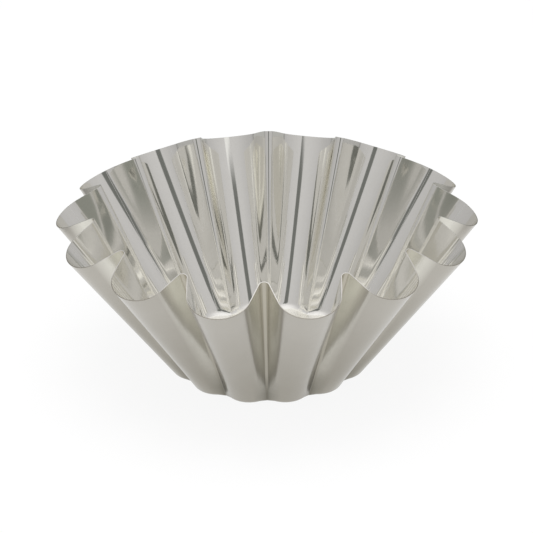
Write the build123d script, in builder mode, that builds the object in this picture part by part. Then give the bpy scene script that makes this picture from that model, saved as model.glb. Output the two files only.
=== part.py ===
"""Fluted brioche mould, deep-drawn in one piece from a round blank of tinplate.

The tin stands on a flat round floor with its open rim up. Wide lobes bulge outwards, and narrow
ridges with a small nose fold inwards between them. All walls are straight from floor to rim, so
every height of the wall is one fluted section whose sizes change steadily with height. The sizes
are those of the sheet's outer face. The frame's origin is the centre of the floor's underside,
+Z is up, and a ridge lies at each end of the Y axis.
"""

import os
from math import acos, atan, atan2, cos, hypot, pi, sin

from build123d import *

os.makedirs("parts", exist_ok=True)

# Driving dimensions, in millimetres
flute_count = 14
sheet_thickness = 0.3

# The wall's fluted section at the height where the lobes end at the rim
rim_lobe_height = 58.3
rim_lobe_radius = 80.0
rim_flute_depth = 17.9
rim_nose_radius = 1.76
rim_flank_length = 9.2

# The same section at the foot, with the wall carried on down to the floor's underside. The flutes
# are shallow there, and their depth is a share of the foot's radius
foot_lobe_radius = 38.6
foot_depth_share = 0.067358
foot_nose_radius = 1.1
foot_flank_length = 2.8

# The rim climbs from the lobes to the ridge tips, a little proud of a straight cone
ridge_tip_height = 66.4
rim_bow = 0.25

# The rounding between the floor and the walls, on the outer face
corner_radius = 4.4

# The blank that stands above the ridge tips until it is trimmed, also the overrun of the cuts
trim_allowance = 3.0

# The ridges' crests lie a flute's depth inside the lobes' crests
rim_ridge_radius = rim_lobe_radius - rim_flute_depth
foot_flute_depth = foot_depth_share * foot_lobe_radius
foot_ridge_radius = foot_lobe_radius - foot_flute_depth

# Angles and slopes that follow from the sizes. A ridge points along -Y, so the first lobe lies
# half a pitch past it
pitch_deg = 360 / flute_count
half_pitch = pi / flute_count
first_lobe_deg = -90 + pitch_deg / 2
lobe_slope = (rim_lobe_radius - foot_lobe_radius) / rim_lobe_height
ridge_slope = (rim_ridge_radius - foot_ridge_radius) / rim_lobe_height
mean_lean = (atan(lobe_slope) + atan(ridge_slope)) / 2
wall_inset = sheet_thickness / cos(mean_lean)
blank_top = ridge_tip_height + trim_allowance
tip_radius = foot_ridge_radius + ridge_slope * ridge_tip_height
blank_reach = lobe_slope * (blank_top - rim_lobe_height) + trim_allowance


def at_height(foot_size, rim_size, height):
    """The size that a straight wall gives at a height, from its sizes at the foot and the rim."""
    return foot_size + (rim_size - foot_size) * height / rim_lobe_height


def half_flute(height, inset):
    """Points of half a flute: lobe crest, end of the lobe's arc, end of the flank, ridge crest.

    The lobe crest lies on the X axis and the ridge crest half a pitch round from it. The lobe's
    arc and the nose are both tangent to the straight flank between them.
    """
    lobe_crest = at_height(foot_lobe_radius, rim_lobe_radius, height)
    ridge_crest = at_height(foot_ridge_radius, rim_ridge_radius, height)
    nose = at_height(foot_nose_radius, rim_nose_radius, height)
    flank = at_height(foot_flank_length, rim_flank_length, height)

    # The nose's centre lies outside its crest, and the lobe's radius closes the triangle between
    # the two centres, whose distance is set by both radii and the flank
    nose_x = (ridge_crest + nose) * cos(half_pitch)
    nose_y = (ridge_crest + nose) * sin(half_pitch)
    short = nose_x - lobe_crest
    lobe = (short**2 + nose_y**2 - nose**2 - flank**2) / (2 * (nose - short))
    lobe_x = lobe_crest - lobe
    spacing = hypot(nose_x - lobe_x, nose_y)
    turn = atan2(nose_y, nose_x - lobe_x) - acos((lobe + nose) / spacing)

    lobe_inset = lobe - inset
    nose_inset = nose + inset
    return (
        Vector(lobe_x + lobe_inset, 0),
        Vector(lobe_x + lobe_inset * cos(turn), lobe_inset * sin(turn)),
        Vector(nose_x - nose_inset * cos(turn), nose_y - nose_inset * sin(turn)),
        Vector(cos(half_pitch), sin(half_pitch)) * (ridge_crest - inset),
    )


def fluted_section(height, inset=0.0):
    """The closed fluted outline at a height, drawn inwards from the outer face by the inset."""
    crest, lobe_end, flank_end, ridge = half_flute(height, inset)
    lobe_start = Vector(lobe_end.X, -lobe_end.Y)
    flank_start = Vector(flank_end.X, -flank_end.Y)
    flute_points = (flank_start, lobe_start, crest, lobe_end, flank_end, ridge)
    with BuildSketch(Plane.XY.offset(height)) as section:
        with BuildLine():
            for flute in range(flute_count):
                angle = first_lobe_deg + flute * pitch_deg
                start, lobe_in, top, lobe_out, end, nose = (p.rotate(Axis.Z, angle) for p in flute_points)
                next_start = flank_start.rotate(Axis.Z, angle + pitch_deg)
                Line(start, lobe_in)
                ThreePointArc(lobe_in, top, lobe_out)
                Line(lobe_out, end)
                ThreePointArc(end, nose, next_start)
        make_face()
    return section.sketch


def rim_cut_profile():
    """Half profile of the ring that trims the blank. Its lower side is the rim, which climbs from
    the lobes to the ridge tips in a shallow arc and runs on straight past both."""
    tip = Vector(tip_radius, ridge_tip_height)
    lobe_end = Vector(rim_lobe_radius, rim_lobe_height)
    middle = (tip + lobe_end) / 2 + Vector(0, rim_bow)
    top = blank_top + trim_allowance
    with BuildSketch(Plane.XZ) as profile:
        with BuildLine():
            rim = ThreePointArc(tip, middle, lobe_end)
            inner = tip - (rim % 0) * trim_allowance
            outer = lobe_end + (rim % 1) * (blank_reach / (rim % 1).X)
            Line(inner, tip)
            Line(lobe_end, outer)
            Line(outer, (outer.X, top))
            Line((outer.X, top), (inner.X, top))
            Line((inner.X, top), inner)
        make_face()
    return profile.sketch


# The solid that fills the sheet's outer face
with BuildPart() as outer_form:
    loft([fluted_section(0), fluted_section(blank_top)], ruled=True)
    fillet(outer_form.edges().group_by(Axis.Z)[0], corner_radius)

# The cavity, which starts a sheet's thickness up and ends above the blank
with BuildPart() as cavity:
    cavity_foot = fluted_section(sheet_thickness, wall_inset)
    loft([cavity_foot, fluted_section(blank_top + trim_allowance, wall_inset)], ruled=True)
    fillet(cavity.edges().group_by(Axis.Z)[0], corner_radius - sheet_thickness)

with BuildPart() as mould_shell:
    add(outer_form.part)
    add(cavity.part, mode=Mode.SUBTRACT)
    revolve(rim_cut_profile(), Axis.Z, mode=Mode.SUBTRACT)

mould_shell.part.label = "mould_shell"
export_step(mould_shell.part, "parts/mould_shell.step")
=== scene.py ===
"""The brioche mould's looks: one round blank of tinplate, pressed into fourteen flutes, in a studio."""

from math import acos, atan2, cos, hypot, pi, radians, sin, tan

import bmesh
import bpy
from mathutils import Matrix, Vector


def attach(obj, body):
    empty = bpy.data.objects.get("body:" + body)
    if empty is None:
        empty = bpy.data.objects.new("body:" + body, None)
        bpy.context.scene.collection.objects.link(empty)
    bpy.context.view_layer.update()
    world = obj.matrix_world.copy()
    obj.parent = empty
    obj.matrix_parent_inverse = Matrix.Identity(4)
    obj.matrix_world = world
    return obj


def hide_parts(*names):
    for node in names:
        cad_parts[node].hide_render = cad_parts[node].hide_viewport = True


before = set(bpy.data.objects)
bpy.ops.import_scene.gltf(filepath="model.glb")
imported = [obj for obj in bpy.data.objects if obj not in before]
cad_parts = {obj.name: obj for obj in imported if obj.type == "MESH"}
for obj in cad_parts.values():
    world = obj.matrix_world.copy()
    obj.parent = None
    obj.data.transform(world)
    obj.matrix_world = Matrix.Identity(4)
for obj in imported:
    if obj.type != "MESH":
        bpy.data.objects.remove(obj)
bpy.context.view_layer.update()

MM = 0.001

# The pressed form, on the sheet's outer face
FLUTES = 14
SHEET = 0.3 * MM
RIM_LOBE_HEIGHT = 58.3 * MM
RIM_LOBE_RADIUS = 80.0 * MM
RIM_FLUTE_DEPTH = 17.9 * MM
RIM_NOSE_RADIUS = 1.76 * MM
RIM_FLANK = 9.2 * MM
FOOT_LOBE_RADIUS = 38.6 * MM
FOOT_FLUTE_DEPTH = 2.6 * MM
FOOT_NOSE_RADIUS = 1.1 * MM
FOOT_FLANK = 2.8 * MM
TIP_HEIGHT = 66.4 * MM
RIM_BOW = 0.25 * MM
LOBE_CORNER_RADIUS = 4.4 * MM
RIDGE_CORNER_RADIUS = 2.2 * MM
WALL_OVERRUN = 3.0 * MM

# What follows from it
RIM_RIDGE_RADIUS = RIM_LOBE_RADIUS - RIM_FLUTE_DEPTH
FOOT_RIDGE_RADIUS = FOOT_LOBE_RADIUS - FOOT_FLUTE_DEPTH
WALL_TOP = TIP_HEIGHT + WALL_OVERRUN
HALF_PITCH = pi / FLUTES

# The blank: its rings of points, which crowd toward the corner on the wall, and how many steps go round
# each part of half a flute
FLOOR_EDGE = 34.0 * MM
CORNER_EDGE = 38.2 * MM
BLANK_EDGE = 106.0 * MM
FLOOR_RINGS = 4
CORNER_RINGS = 12
WALL_RINGS = 22
WALL_CROWDING = 2
LOBE_STEPS = 13
FLANK_STEPS = 6
NOSE_STEPS = 10
HALF_STEPS = LOBE_STEPS + FLANK_STEPS + NOSE_STEPS

# Points nearer than this are one point
MERGE_GAP = 0.001 * MM

# The cut edge: the rounds that close in on its height, how far its two corners are broken, and the turn
# past which an edge is sharp
TRIM_ROUNDS = 12
BURR = 0.03 * MM
SHARP_TURN = radians(30)

# The attribute that keeps where each point lay on the blank
ON_BLANK = "on_blank"

# The places of the materials on the mould
INSIDE, OUTSIDE, CUT = range(3)


def at_height(foot_size, rim_size, height):
    """The size that a straight wall gives at a height, from its sizes at the foot and the rim."""
    return foot_size + (rim_size - foot_size) * height / RIM_LOBE_HEIGHT


def half_flute(height):
    """The circles of half a flute at a height: lobe centre and radius, nose centre and radius, turn."""
    lobe_crest = at_height(FOOT_LOBE_RADIUS, RIM_LOBE_RADIUS, height)
    ridge_crest = at_height(FOOT_RIDGE_RADIUS, RIM_RIDGE_RADIUS, height)
    nose = at_height(FOOT_NOSE_RADIUS, RIM_NOSE_RADIUS, height)
    flank = at_height(FOOT_FLANK, RIM_FLANK, height)
    nose_centre = Vector((cos(HALF_PITCH), sin(HALF_PITCH))) * (ridge_crest + nose)
    short = nose_centre.x - lobe_crest
    lobe = (short**2 + nose_centre.y**2 - nose**2 - flank**2) / (2 * (nose - short))
    lobe_centre = Vector((lobe_crest - lobe, 0))
    apart = nose_centre - lobe_centre
    turn = atan2(apart.y, apart.x) - acos((lobe + nose) / apart.length)
    return lobe_centre, lobe, nose_centre, nose, turn


def on_circle(centre, radius, angle):
    """The point of a circle at an angle."""
    return centre + radius * Vector((cos(angle), sin(angle)))


def outline_point(height, step):
    """The point of half a flute's outline that a step of the blank comes to, from the lobe's crest."""
    lobe_centre, lobe, nose_centre, nose, turn = half_flute(height)
    if step <= LOBE_STEPS:
        return on_circle(lobe_centre, lobe, turn * step / LOBE_STEPS)
    lobe_end = on_circle(lobe_centre, lobe, turn)
    flank_end = on_circle(nose_centre, nose, turn + pi)
    step -= LOBE_STEPS
    if step <= FLANK_STEPS:
        return lobe_end.lerp(flank_end, step / FLANK_STEPS)
    step -= FLANK_STEPS
    return on_circle(nose_centre, nose, pi + turn + (HALF_PITCH - turn) * step / NOSE_STEPS)


def corner_radius(step):
    """The rounding into the floor, which is wide at the lobes and tightens along the flanks."""
    share = min(max((step - LOBE_STEPS) / FLANK_STEPS, 0), 1)
    return LOBE_CORNER_RADIUS + (RIDGE_CORNER_RADIUS - LOBE_CORNER_RADIUS) * share


def trimmed_height(foot, run):
    """The height at which the trimming cut meets one straight line of the wall, closed in on in rounds."""
    tip_radius = at_height(FOOT_RIDGE_RADIUS, RIM_RIDGE_RADIUS, TIP_HEIGHT)
    height = TIP_HEIGHT
    for _ in range(TRIM_ROUNDS):
        share = ((foot + run * height).length - tip_radius) / (RIM_LOBE_RADIUS - tip_radius)
        bow = 4 * RIM_BOW * share * (1 - share)
        height = TIP_HEIGHT + (RIM_LOBE_HEIGHT - TIP_HEIGHT) * share + bow
    return height


def wall_line(step):
    """One straight line of the wall: its foot, its run per height, its corner and its height."""
    foot = outline_point(0, step)
    run = (outline_point(WALL_TOP, step) - foot) / WALL_TOP
    lean = atan2(1, run.length)
    return foot, run, corner_radius(step), lean, trimmed_height(foot, run)


WALL_LINES = [wall_line(step) for step in range(HALF_STEPS + 1)]


def share_between(start, end, value):
    """How far a value lies on the way from a start to an end."""
    return (value - start) / (end - start)


def press_point(radius, step):
    """Where a point of the blank, at a radius and a step from the lobe's crest, is pressed to."""
    foot, run, corner, lean, top = WALL_LINES[step]
    out = run.normalized()
    setback = corner * tan(lean / 2)
    if radius <= FLOOR_EDGE:
        place = (foot - out * setback) * (radius / FLOOR_EDGE)
        return place, 0.0
    if radius <= CORNER_EDGE:
        turn = lean * share_between(FLOOR_EDGE, CORNER_EDGE, radius)
        place = foot + out * (corner * sin(turn) - setback)
        return place, corner * (1 - cos(turn))
    start = corner * (1 - cos(lean))
    height = start + (top - start) * share_between(CORNER_EDGE, BLANK_EDGE, radius)
    return foot + run * height, height


def press(blank):
    """Presses the flat blank into the mould, and keeps where each point lay on the blank."""
    on_blank = blank.verts.layers.float_vector.new(ON_BLANK)
    for point in blank.verts:
        point[on_blank] = point.co
        radius = hypot(point.co.x, point.co.y)
        steps = atan2(point.co.y, point.co.x) / HALF_PITCH * HALF_STEPS
        lobe = round(steps / (2 * HALF_STEPS))
        step = round(steps) - lobe * 2 * HALF_STEPS
        place, height = press_point(min(radius, BLANK_EDGE), abs(step))
        if step < 0:
            place.y = -place.y
        place.rotate(Matrix.Rotation(2 * HALF_PITCH * lobe, 2))
        point.co = (place.x, place.y, height)


def rings(start, end, count, crowding=1):
    """Ring radii past a start, up to an end, which crowd toward the start where crowding is over 1."""
    return [start + (end - start) * (ring / count) ** crowding for ring in range(1, count + 1)]


def round_blank():
    """A flat disc: a line of points from its centre to its edge, spun once round."""
    blank = bmesh.new()
    radii = [0.0]
    radii += rings(0.0, FLOOR_EDGE, FLOOR_RINGS)
    radii += rings(FLOOR_EDGE, CORNER_EDGE, CORNER_RINGS)
    radii += rings(CORNER_EDGE, BLANK_EDGE, WALL_RINGS, WALL_CROWDING)
    points = [blank.verts.new((radius, 0, 0)) for radius in radii]
    lines = [blank.edges.new(pair) for pair in zip(points, points[1:])]
    bmesh.ops.spin(
        blank, geom=points + lines, cent=(0, 0, 0), axis=(0, 0, 1), dvec=(0, 0, 0),
        angle=2 * pi, steps=2 * HALF_STEPS * FLUTES, use_merge=True,
    )
    bmesh.ops.remove_doubles(blank, verts=blank.verts, dist=MERGE_GAP)
    bmesh.ops.recalc_face_normals(blank, faces=blank.faces)
    if next(iter(blank.faces)).normal.z > 0:
        bmesh.ops.reverse_faces(blank, faces=blank.faces)
    return blank


def side_of_sheet(face, on_blank):
    """The place of a face's material: the cut edge, the outer side or the inner side."""
    if all(point[on_blank].length > BLANK_EDGE - BURR for point in face.verts):
        return CUT
    return OUTSIDE if face.normal.z < 0 else INSIDE


def give_thickness(sheet):
    """The inner face, a sheet's thickness square to the outer one, and a cut edge with its burr taken off."""
    sheet.normal_update()
    bmesh.ops.solidify(sheet, geom=sheet.verts[:] + sheet.edges[:] + sheet.faces[:], thickness=SHEET)
    sheet.normal_update()
    cut = [edge for edge in sheet.edges if edge.calc_face_angle(0) > SHARP_TURN]
    bmesh.ops.bevel(
        sheet, geom=cut, offset=BURR, offset_type="OFFSET", segments=1, profile=0.5,
        affect="EDGES", material=-1,
    )
    for edge in sheet.edges:
        edge.smooth = edge.calc_face_angle(0) < SHARP_TURN
    on_blank = sheet.verts.layers.float_vector[ON_BLANK]
    for face in sheet.faces:
        face.smooth = True
        face.material_index = side_of_sheet(face, on_blank)


def new_object(name, shape, materials):
    """An object at the origin, from a shape that lies in its place."""
    mesh = bpy.data.meshes.new(name)
    shape.to_mesh(mesh)
    shape.free()
    for material in materials:
        mesh.materials.append(material)
    made = bpy.data.objects.new(name, mesh)
    bpy.context.scene.collection.objects.link(made)
    return made


class Signal:
    """A node's output. Arithmetic on it adds Math nodes to its tree."""

    def __init__(self, finish, socket):
        self.finish = finish
        self.socket = socket

    def __add__(self, other):
        return self.finish.maths("ADD", self, other)

    def __sub__(self, other):
        return self.finish.maths("SUBTRACT", self, other)

    def __rsub__(self, other):
        return self.finish.maths("SUBTRACT", other, self)

    def __mul__(self, other):
        return self.finish.maths("MULTIPLY", self, other)

    def __truediv__(self, other):
        return self.finish.maths("DIVIDE", self, other)

    def __rtruediv__(self, other):
        return self.finish.maths("DIVIDE", other, self)

    def __abs__(self):
        return self.finish.maths("ABSOLUTE", self)

    def larger(self, other):
        """The larger of two values."""
        return self.finish.maths("MAXIMUM", self, other)

    def smaller(self, other):
        """The smaller of two values."""
        return self.finish.maths("MINIMUM", self, other)

    def held(self):
        """The value, held between 0 and 1."""
        return self.larger(0.0).smaller(1.0)

    __radd__ = __add__
    __rmul__ = __mul__


class Finish:
    """The node tree of a material or of the world."""

    def __init__(self, owner):
        owner.use_nodes = True
        self.owner = owner
        self.tree = owner.node_tree
        self.tree.nodes.clear()

    def node(self, kind, settings=None, sockets=None, output=0):
        """Adds a node: first its settings, then the values or links of its sockets."""
        made = self.tree.nodes.new(kind)
        for name, value in (settings or {}).items():
            if name == "stops":
                self.set_stops(made.color_ramp, value)
            else:
                setattr(made, name, value)
        for name, value in (sockets or {}).items():
            if isinstance(value, Signal):
                self.tree.links.new(value.socket, made.inputs[name])
            else:
                made.inputs[name].default_value = value
        return Signal(self, made.outputs[output]) if made.outputs else None

    @staticmethod
    def set_stops(ramp, stops):
        """A ramp's stops, as pairs of place and grey level."""
        while len(ramp.elements) < len(stops):
            ramp.elements.new(1.0)
        for element, (place, level) in zip(ramp.elements, stops):
            element.position = place
            element.color = (level, level, level, 1.0)

    def maths(self, operation, first, second=0.0):
        """A Math node on two values."""
        return self.node("ShaderNodeMath", {"operation": operation}, {0: first, 1: second})

    def vector(self, operation, sockets, output=0):
        """A Vector Math node."""
        return self.node("ShaderNodeVectorMath", {"operation": operation}, sockets, output)

    def axes(self, vector):
        """The three parts of a vector."""
        return [self.node("ShaderNodeSeparateXYZ", {}, {0: vector}, axis) for axis in "XYZ"]

    def mix(self, factor, first, second):
        """Two colours, mixed by a factor."""
        settings = {"data_type": "RGBA", "clamp_factor": True}
        return self.node("ShaderNodeMix", settings, {0: factor, 6: first, 7: second}, 2)

    def noise(self, place, waves):
        """Soft noise from 0 to 1 at a place: its scale, its detail and its roughness."""
        scale, detail, roughness = waves
        sockets = {"Vector": place, "Scale": scale, "Detail": detail, "Roughness": roughness}
        return self.node("ShaderNodeTexNoise", {"noise_dimensions": "3D"}, sockets)

    def close(self, shader, kind="ShaderNodeOutputMaterial"):
        """Ends the tree, and hands back what it belongs to."""
        self.node(kind, {}, {"Surface": shader})
        return self.owner

    def metal(self, colour, roughness, **more):
        """Ends the tree with a metal shader."""
        sockets = {"Base Color": colour, "Metallic": 1.0, "Roughness": roughness, **more}
        return self.close(self.node("ShaderNodeBsdfPrincipled", {}, sockets))


# The marks of the tinplate: noise by its scale, detail and roughness, the mill's grain by how often it
# changes along and across the rolling, and the relief of all marks together
MOTTLE = (140.0, 4.0, 0.6)
GRAIN = (1100.0, 3.0, 0.6)
DRAWN = (1.0, 2.0, 0.5)
ROLLED = (1.0, 3.0, 0.5)
ROLLED_ALONG = 25.0
ROLLED_ACROSS = 600.0
RELIEF_STRENGTH = 0.1
RELIEF_HEIGHT = 0.2 * MM

# Where the bends of a flute lie, as shares of the way from a lobe's crest to a ridge's
LOBE_BEND = LOBE_STEPS / HALF_STEPS
NOSE_BEND = (LOBE_STEPS + FLANK_STEPS) / HALF_STEPS

# One share counts as more metres further out, which keeps a crease about as wide from floor to rim
SHARE_GROWTH = 0.448
SHARE_LOSS = 3.5 * MM


class BlankPlace:
    """Where a point lay on the blank: how far from its centre, and how far across half a flute."""

    def __init__(self, finish):
        on_blank = finish.node("ShaderNodeAttribute", {"attribute_name": ON_BLANK}, output="Vector")
        x, y, _ = finish.axes(on_blank)
        self.finish = finish
        self.reach = finish.vector("LENGTH", {0: on_blank}, "Value")
        self.unit = finish.vector("NORMALIZE", {0: on_blank})
        self.across = finish.maths("PINGPONG", finish.maths("ARCTAN2", y, x) / HALF_PITCH, 1.0)
        rolled = finish.node("ShaderNodeCombineXYZ", {}, {0: x * ROLLED_ALONG, 1: y * ROLLED_ACROSS})
        self.rolled = finish.noise(rolled, ROLLED)

    def lines(self, lines_round, lines_along):
        """Noise drawn out along the pull of the press: fine round the blank, long from centre to edge."""
        around = self.finish.vector("SCALE", {0: self.unit, 3: lines_round})
        along = self.finish.node("ShaderNodeCombineXYZ", {}, {2: self.reach * lines_along})
        return self.finish.noise(self.finish.vector("ADD", {0: around, 1: along}), DRAWN)

    def crease(self, share, width):
        """From 0 to 1 on a thin line down the wall, at a share of the way across."""
        aside = abs(self.across - share) * (self.reach * SHARE_GROWTH - SHARE_LOSS)
        return (1.0 - aside / width).larger(0.0)

    def past(self, share, width):
        """From 0 to 1 where a point lies further across than a share, over a width either side."""
        return ((self.across - share) / (2 * width) + 0.5).held()

    def within(self, reach, fade):
        """From 1 near the centre of the blank to 0 at a reach, over a fade inside it."""
        return ((reach - self.reach) / fade).held()


class Tinplate(Finish):
    """A tinplate finish, with the marks of the mill, of use and of the press."""

    def __init__(self, name, fine_lines, broad_lines):
        super().__init__(bpy.data.materials.new(name))
        place = self.node("ShaderNodeTexCoord", output="Object")
        self.mottle = self.noise(place, MOTTLE)
        self.grain = self.noise(place, GRAIN)
        self.blank = BlankPlace(self)
        self.fine_lines = self.blank.lines(*fine_lines)
        self.broad_lines = self.blank.lines(*broad_lines)

    def marks(self, strengths):
        """Marks added up, each by its name and strength."""
        return sum(getattr(self, mark) * strength for mark, strength in strengths.items())

    def metal_in_relief(self, colour, roughness, relief):
        """Ends the tree with a metal shader whose marks stand out a little."""
        sockets = {"Strength": RELIEF_STRENGTH, "Distance": RELIEF_HEIGHT, "Height": relief}
        return self.metal(colour, roughness, Normal=self.node("ShaderNodeBump", {}, sockets))


# The inside: its colours, its draw lines round and along the blank, and how strongly its marks tell on
# its colour, its roughness and its relief
INSIDE_BRIGHT = (0.92, 0.91, 0.87, 1.0)
INSIDE_DULL = (0.842, 0.83, 0.776, 1.0)
SCUFF_AND_HIGHLIGHT = (0.985, 0.975, 0.945, 1.0)
INSIDE_FINE_LINES = (130.0, 3.0)
INSIDE_BROAD_LINES = (60.0, 1.5)
INSIDE_WEAR = {"mottle": 0.5, "broad_lines": 0.4, "grain": 0.8}
INSIDE_WEAR_HIDDEN = 0.35
INSIDE_ROUGHNESS = 0.04
INSIDE_HAZE = {"mottle": 0.05, "fine_lines": 0.02}
INSIDE_RELIEF = {"fine_lines": 0.2, "broad_lines": 0.4}
LOBE_RELIEF = 0.5
RIDGE_RELIEF_GAIN = 0.2

# The floor inside, scuffed so that the mill's grain shows, and the creases that the press leaves, scuffed and
# rougher, whose paler colour is partly a painted highlight
FLOOR_REACH = 37.0 * MM
FLOOR_FADE = 3.0 * MM
FLOOR_HAZE = 0.2
FLOOR_GRAIN_HIDDEN = 0.75
FLOOR_GRAIN_STRENGTH = 1.6
PRESS_CREASE = 0.32
CREASE_WIDTH = 0.3 * MM
CREASE_SCUFF_AND_HIGHLIGHT = 0.7
CREASE_HAZE = 0.3


def tinplate_inside():
    """Bright tinplate, with draw lines and two creases up each lobe, whose paler colour is partly a painted
    highlight, and a scuffed floor.
    """
    tin = Tinplate("tinplate_inside", INSIDE_FINE_LINES, INSIDE_BROAD_LINES)
    floor = tin.blank.within(FLOOR_REACH, FLOOR_FADE)
    wall = 1.0 - floor
    crease = tin.blank.crease(PRESS_CREASE, CREASE_WIDTH) * wall
    rolled = tin.blank.rolled
    colour = tin.mix(tin.marks(INSIDE_WEAR) - INSIDE_WEAR_HIDDEN, INSIDE_DULL, INSIDE_BRIGHT)
    # The creases take the scuffed colour: real scuffing, and in part a painted highlight line
    colour = tin.mix(floor.larger(crease * CREASE_SCUFF_AND_HIGHLIGHT), colour, SCUFF_AND_HIGHLIGHT)
    floor_grain = floor * (rolled + tin.mottle - FLOOR_GRAIN_HIDDEN) * FLOOR_GRAIN_STRENGTH
    colour = tin.mix(floor_grain, colour, INSIDE_DULL)
    roughness = INSIDE_ROUGHNESS + tin.marks(INSIDE_HAZE) + floor * FLOOR_HAZE + crease * CREASE_HAZE
    lines = tin.marks(INSIDE_RELIEF) * (LOBE_RELIEF + tin.blank.across * RIDGE_RELIEF_GAIN)
    return tin.metal_in_relief(colour, roughness, lines * wall + rolled * floor)


# The outside: its colours, painted shade by part of the flute for the shaded floor that each part
# mirrors, and where one turns into the next, its draw lines, and how strongly its marks tell on its colour,
# its roughness and its relief
OUTSIDE_LOBE_SHADE = (0.455, 0.436, 0.393, 1.0)
OUTSIDE_FLANK_SHADE = (0.735, 0.722, 0.657, 1.0)
OUTSIDE_NOSE_SHADE = (0.475, 0.447, 0.375, 1.0)
OUTSIDE_SHADE_AND_WEAR = (0.333, 0.315, 0.27, 1.0)
OUTSIDE_CREVICE_SHADE = (0.17, 0.16, 0.13, 1.0)
TO_FLANK = (LOBE_BEND + 0.02, 0.08)
TO_NOSE = (NOSE_BEND + 0.06, 0.06)
OUTSIDE_FINE_LINES = (230.0, 5.0)
OUTSIDE_BROAD_LINES = (80.0, 2.0)
OUTSIDE_WEAR = {"mottle": 0.2, "grain": 0.2}
OUTSIDE_WEAR_HIDDEN = 0.2
OUTSIDE_ROUGHNESS = 0.16
OUTSIDE_HAZE = {"mottle": 0.08, "fine_lines": 0.04}
OUTSIDE_RELIEF = {"fine_lines": 0.6, "broad_lines": 0.4}

# Painted shade outside, which grows toward the floor, less so on the ridges, and darker painted shade in
# the crevices between the feet of the lobes
FOOT_SHADE_REACH = 98.0 * MM
FOOT_SHADE_FADE = 50.0 * MM
FOOT_SHADE_SPARED = (LOBE_BEND, 0.15)
FOOT_SHADE_SPARED_STRENGTH = 0.15
CREVICE_REACH = 54.0 * MM
CREVICE_FADE = 12.0 * MM
TO_CREVICE = (0.5, 0.2)
CREVICE_SHADE_STRENGTH = 0.9


def tinplate_outside():
    """Tinplate with painted shade: most on the lobes and the noses, darker toward the floor, and darkest in
    the crevices between the lobes' feet.
    """
    tin = Tinplate("tinplate_outside", OUTSIDE_FINE_LINES, OUTSIDE_BROAD_LINES)
    blank = tin.blank
    # Painted shade by part of the flute, for the shaded floor that each part mirrors
    colour = tin.mix(blank.past(*TO_FLANK), OUTSIDE_LOBE_SHADE, OUTSIDE_FLANK_SHADE)
    colour = tin.mix(blank.past(*TO_NOSE), colour, OUTSIDE_NOSE_SHADE)
    # Painted shade toward the floor, less on the ridges, mixed with the wear's mottle and grain
    spared = blank.past(*FOOT_SHADE_SPARED) * FOOT_SHADE_SPARED_STRENGTH
    foot_shade = blank.within(FOOT_SHADE_REACH, FOOT_SHADE_FADE) * (1.0 - spared)
    colour = tin.mix(foot_shade + tin.marks(OUTSIDE_WEAR) - OUTSIDE_WEAR_HIDDEN, colour, OUTSIDE_SHADE_AND_WEAR)
    # Painted shade in the crevices between the feet of the lobes
    crevice = blank.within(CREVICE_REACH, CREVICE_FADE) * blank.past(*TO_CREVICE)
    colour = tin.mix(crevice * CREVICE_SHADE_STRENGTH, colour, OUTSIDE_CREVICE_SHADE)
    roughness = OUTSIDE_ROUGHNESS + tin.marks(OUTSIDE_HAZE)
    return tin.metal_in_relief(colour, roughness, tin.marks(OUTSIDE_RELIEF))


# The cut edge: where it turns from painted shade to a painted highlight, and how much smoother the
# highlighted part is
CUT_STEEL_AND_SHADE = (0.44, 0.41, 0.35, 1.0)
CUT_HIGHLIGHT = (0.98, 0.96, 0.91, 1.0)
TO_HIGHLIGHT = (0.4, 0.1)
CUT_ROUGHNESS = 0.3
HIGHLIGHT_SMOOTHER = 0.1


def cut_tinplate():
    """The cut edge of the sheet: dark like bare steel, with painted shade, on the lobes, and a painted
    highlight where it climbs to the ridges.
    """
    finish = Finish(bpy.data.materials.new("cut_tinplate"))
    # Painted shade on the cut edge of the lobes, a painted highlight toward the ridges
    highlighted = BlankPlace(finish).past(*TO_HIGHLIGHT)
    colour = finish.mix(highlighted, CUT_STEEL_AND_SHADE, CUT_HIGHLIGHT)
    return finish.metal(colour, CUT_ROUGHNESS - highlighted * HIGHLIGHT_SMOOTHER)


# The studio floor: a wide grey table, a hair below the tin, and a sheet of white paper that widens toward
# the back and whose edges fade. Its lift makes it white to the camera and in the tin's mirror
FLOOR_RADIUS = 4.0
FLOOR_SEGMENTS = 96
FLOOR_DROP = 0.05 * MM
TABLE_GREY = (0.40, 0.40, 0.395, 1.0)
PAPER_WHITE = (0.95, 0.95, 0.95, 1.0)
PAPER_HALF_WIDTH = 107.5 * MM
PAPER_WIDENING = 0.12
PAPER_FRONT = -130.0 * MM
PAPER_BACK = 450.0 * MM
PAPER_FADE = 18.0 * MM
PAPER_LIFT = 0.9
LIFTED_RAYS = ("Is Camera Ray", "Is Glossy Ray", "Is Transmission Ray")
WHITE = (1.0, 1.0, 1.0, 1.0)


def studio_floor():
    """White paper round the mould, which fades into the grey table and keeps the mould's shadow."""
    finish = Finish(bpy.data.materials.new("studio_floor"))
    x, y, _ = finish.axes(finish.node("ShaderNodeTexCoord", output="Object"))
    aside = abs(x) - y * PAPER_WIDENING - PAPER_HALF_WIDTH
    beyond = aside.larger(y - PAPER_BACK).larger(PAPER_FRONT - y)
    paper = (1.0 - beyond / PAPER_FADE).held()
    lit = finish.node("ShaderNodeBsdfDiffuse", {}, {"Color": finish.mix(paper, TABLE_GREY, PAPER_WHITE)})
    white = finish.node("ShaderNodeEmission", {}, {"Color": WHITE, "Strength": 1.0})
    seen = sum(finish.node("ShaderNodeLightPath", output=ray) for ray in LIFTED_RAYS)
    lift = seen.smaller(1.0) * paper * PAPER_LIFT
    return finish.close(finish.node("ShaderNodeMixShader", {}, {0: lift, 1: lit, 2: white}))


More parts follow.
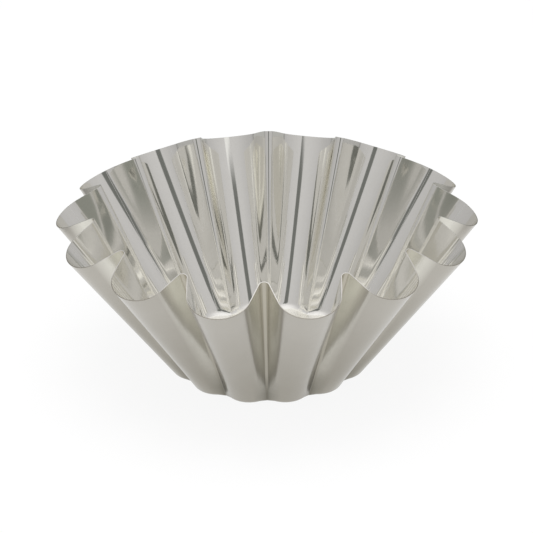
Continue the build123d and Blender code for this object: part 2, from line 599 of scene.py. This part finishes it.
def edge_fade(along, softness):
    """From 0 at either end of a card's side to 1 within it."""
    return (along.smaller(1.0 - along) / softness).held()


def glowing_cloth(name, colour, strength, softness):
    """The cloth of a softbox or a flag, which thins out toward its edges."""
    finish = Finish(bpy.data.materials.new(name))
    across, up, _ = finish.axes(finish.node("ShaderNodeTexCoord", output="UV"))
    cover = edge_fade(across, softness) * edge_fade(up, softness)
    clear = finish.node("ShaderNodeBsdfTransparent")
    glow = finish.node("ShaderNodeEmission", {}, {"Color": colour, "Strength": strength})
    return finish.close(finish.node("ShaderNodeMixShader", {}, {0: cover, 1: clear, 2: glow}))


def stage_piece(name, shape, material):
    """A piece of the studio, which isn't part of the mould."""
    piece = new_object(name, shape, (material,))
    return piece


def make_floor():
    """A wide round floor that the mould stands on."""
    disc = bmesh.new()
    bmesh.ops.create_circle(disc, cap_ends=True, segments=FLOOR_SEGMENTS, radius=FLOOR_RADIUS)
    bmesh.ops.translate(disc, verts=disc.verts, vec=(0, 0, -FLOOR_DROP))
    stage_piece("floor", disc, studio_floor())


def toward(azimuth, elevation, distance):
    """A place seen from the mould: azimuth from the camera's side towards the right, in degrees."""
    across, up = radians(azimuth), radians(elevation)
    return Vector((sin(across) * cos(up), -cos(across) * cos(up), sin(up))) * distance


def seen_from_mould(low_azimuth, high_azimuth, low, high, distance):
    """A card's corners, from the azimuths and elevations between which the mould sees it."""
    outline = ((low_azimuth, low), (high_azimuth, low), (high_azimuth, high), (low_azimuth, high))
    return [toward(azimuth, elevation, distance) for azimuth, elevation in outline]


def hang_card(name, corners, colour, strength, softness):
    """A flat studio card that only the tin's mirror sees."""
    card = bmesh.new()
    face = card.faces.new([card.verts.new(corner) for corner in corners])
    cloth = card.loops.layers.uv.new("cloth")
    for loop, place in zip(face.loops, ((0, 0), (1, 0), (1, 1), (0, 1))):
        loop[cloth].uv = place
    piece = stage_piece(name, card, glowing_cloth(name, colour, strength, softness))
    piece.visible_camera = False
    piece.visible_diffuse = False
    piece.visible_shadow = False


# The tent: its tones from the horizon up, by the height of a direction, and how much it brightens toward
# the right and the front
TENT_TONES = (
    (0.0, 0.475), (0.42, 0.52), (0.6, 0.56), (0.7, 0.585), (0.78, 0.605), (0.85, 0.67), (0.92, 0.76),
    (0.97, 0.88), (1.0, 0.97),
)
TENT_TINT = (1.015, 1.003, 1.015)
TENT_SLANT = 0.05

# The cards: name, corners in metres, colour, strength, and how far in from its edges each thins out. Some
# corners come from where the mould sees the card: between two azimuths and two elevations in degrees, at
# a distance in metres. The gaps reach below the floor, which hides their lower ends. The grey card lies
# on the floor behind the tin
WARM_WHITE = (1.0, 0.995, 0.99, 1.0)
CARD_GREY = (1.0, 1.0, 0.98, 1.0)
DARK_CLOTH = (0.985, 1.02, 0.975, 1.0)
GREY_CARD = ((-0.6, 0.11, 0.001), (0.6, 0.11, 0.001), (0.6, 0.8, 0.001), (-0.6, 0.8, 0.001))
LENS_FLAG = ((-0.068, -0.19, 0.085), (0.035, -0.19, 0.085), (0.122, -0.19, 0.35), (0.004, -0.19, 0.322))
LENS_LIGHT = ((0.025, -0.19, 0.337), (0.17, -0.19, 0.345), (0.19, -0.19, 0.44), (0.025, -0.19, 0.43))
CARDS = (
    ("softbox", seen_from_mould(148, 218, 50, 76, 2.4), WARM_WHITE, 1.0, 0.06),
    ("gap_left", seen_from_mould(-195, -118, -12, 38, 1.2), DARK_CLOTH, 0.26, 0.4),
    ("gap_right", seen_from_mould(118, 195, -12, 42, 1.2), DARK_CLOTH, 0.3, 0.4),
    ("grey_card", GREY_CARD, CARD_GREY, 0.48, 0.05),
    ("lens_flag", LENS_FLAG, DARK_CLOTH, 0.17, 0.12),
    ("lens_light", LENS_LIGHT, WHITE, 0.88, 0.1),
)

# The lamp overhead
LAMP_DIAMETER = 0.95
LAMP_POWER = 11.0
LAMP_HEIGHT = 1.3


def raise_tent():
    """A soft grey tent all round, as the world."""
    finish = Finish(bpy.data.worlds.new("studio"))
    bpy.context.scene.world = finish.owner
    right, back, height = finish.axes(finish.node("ShaderNodeTexCoord", output="Generated"))
    tone = finish.node("ShaderNodeValToRGB", {"stops": TENT_TONES}, {0: height})
    tone = tone * (1.0 + (right - back) * TENT_SLANT)
    cloth = finish.vector("SCALE", {0: TENT_TINT, 3: tone})
    shader = finish.node("ShaderNodeBackground", {}, {"Color": cloth, "Strength": 1.0})
    finish.close(shader, "ShaderNodeOutputWorld")


def light_floor():
    """A broad lamp overhead for the floor, kept out of the tin's mirror."""
    data = bpy.data.lights.new("floor_lamp", "AREA")
    data.shape = "DISK"
    data.size = LAMP_DIAMETER
    data.energy = LAMP_POWER
    lamp = bpy.data.objects.new("floor_lamp", data)
    lamp.location.z = LAMP_HEIGHT
    lamp.visible_glossy = False
    lamp.visible_camera = False
    bpy.context.scene.collection.objects.link(lamp)


def light_studio():
    """The tent, a softbox above and behind, gaps low behind, a flag and a light by the lens, a lamp."""
    raise_tent()
    for card in CARDS:
        hang_card(*card)
    light_floor()


# The photograph's camera
CAMERA_AZIMUTH = radians(1.061)
CAMERA_ELEVATION = radians(27.321)
CAMERA_ROLL = radians(-0.797)
CAMERA_DISTANCE = 830.906 * MM
CAMERA_AIM = Vector((-0.297 * MM, 0.0, 38.667 * MM))
CAMERA_LENS = 146.27
CAMERA_SENSOR = 36.0
CAMERA_NEAR = 50.0 * MM
CAMERA_FAR = 50.0


def place_camera():
    """The camera, turned about the mould's axis, so that the ridges lie as in the photograph."""
    data = bpy.data.cameras.new("camera")
    data.sensor_width = CAMERA_SENSOR
    data.lens = CAMERA_LENS
    data.clip_start = CAMERA_NEAR
    data.clip_end = CAMERA_FAR
    camera = bpy.data.objects.new("camera", data)
    bpy.context.scene.collection.objects.link(camera)
    back = Vector((0, -cos(CAMERA_ELEVATION), sin(CAMERA_ELEVATION)))
    up = Vector((0, sin(CAMERA_ELEVATION), cos(CAMERA_ELEVATION)))
    right = Vector((1, 0, 0))
    turned_right = right * cos(CAMERA_ROLL) + up * sin(CAMERA_ROLL)
    turned_up = up * cos(CAMERA_ROLL) - right * sin(CAMERA_ROLL)
    axes = Matrix((turned_right, turned_up, back)).transposed().to_4x4()
    axes.translation = CAMERA_AIM + back * CAMERA_DISTANCE
    camera.matrix_world = Matrix.Rotation(CAMERA_AZIMUTH, 4, "Z") @ axes
    bpy.context.scene.camera = camera


def make_mould():
    """The whole mould, from one blank."""
    sheet = round_blank()
    press(sheet)
    give_thickness(sheet)
    mould = new_object("pressed_mould", sheet, (tinplate_inside(), tinplate_outside(), cut_tinplate()))
    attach(mould, "root")
    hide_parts("mould_shell")


# The inside mirrors itself several times over
MIRROR_BOUNCES = 10

make_mould()
make_floor()
light_studio()
place_camera()
bpy.context.scene.view_settings.view_transform = "Standard"
bpy.context.scene.cycles.glossy_bounces = MIRROR_BOUNCES
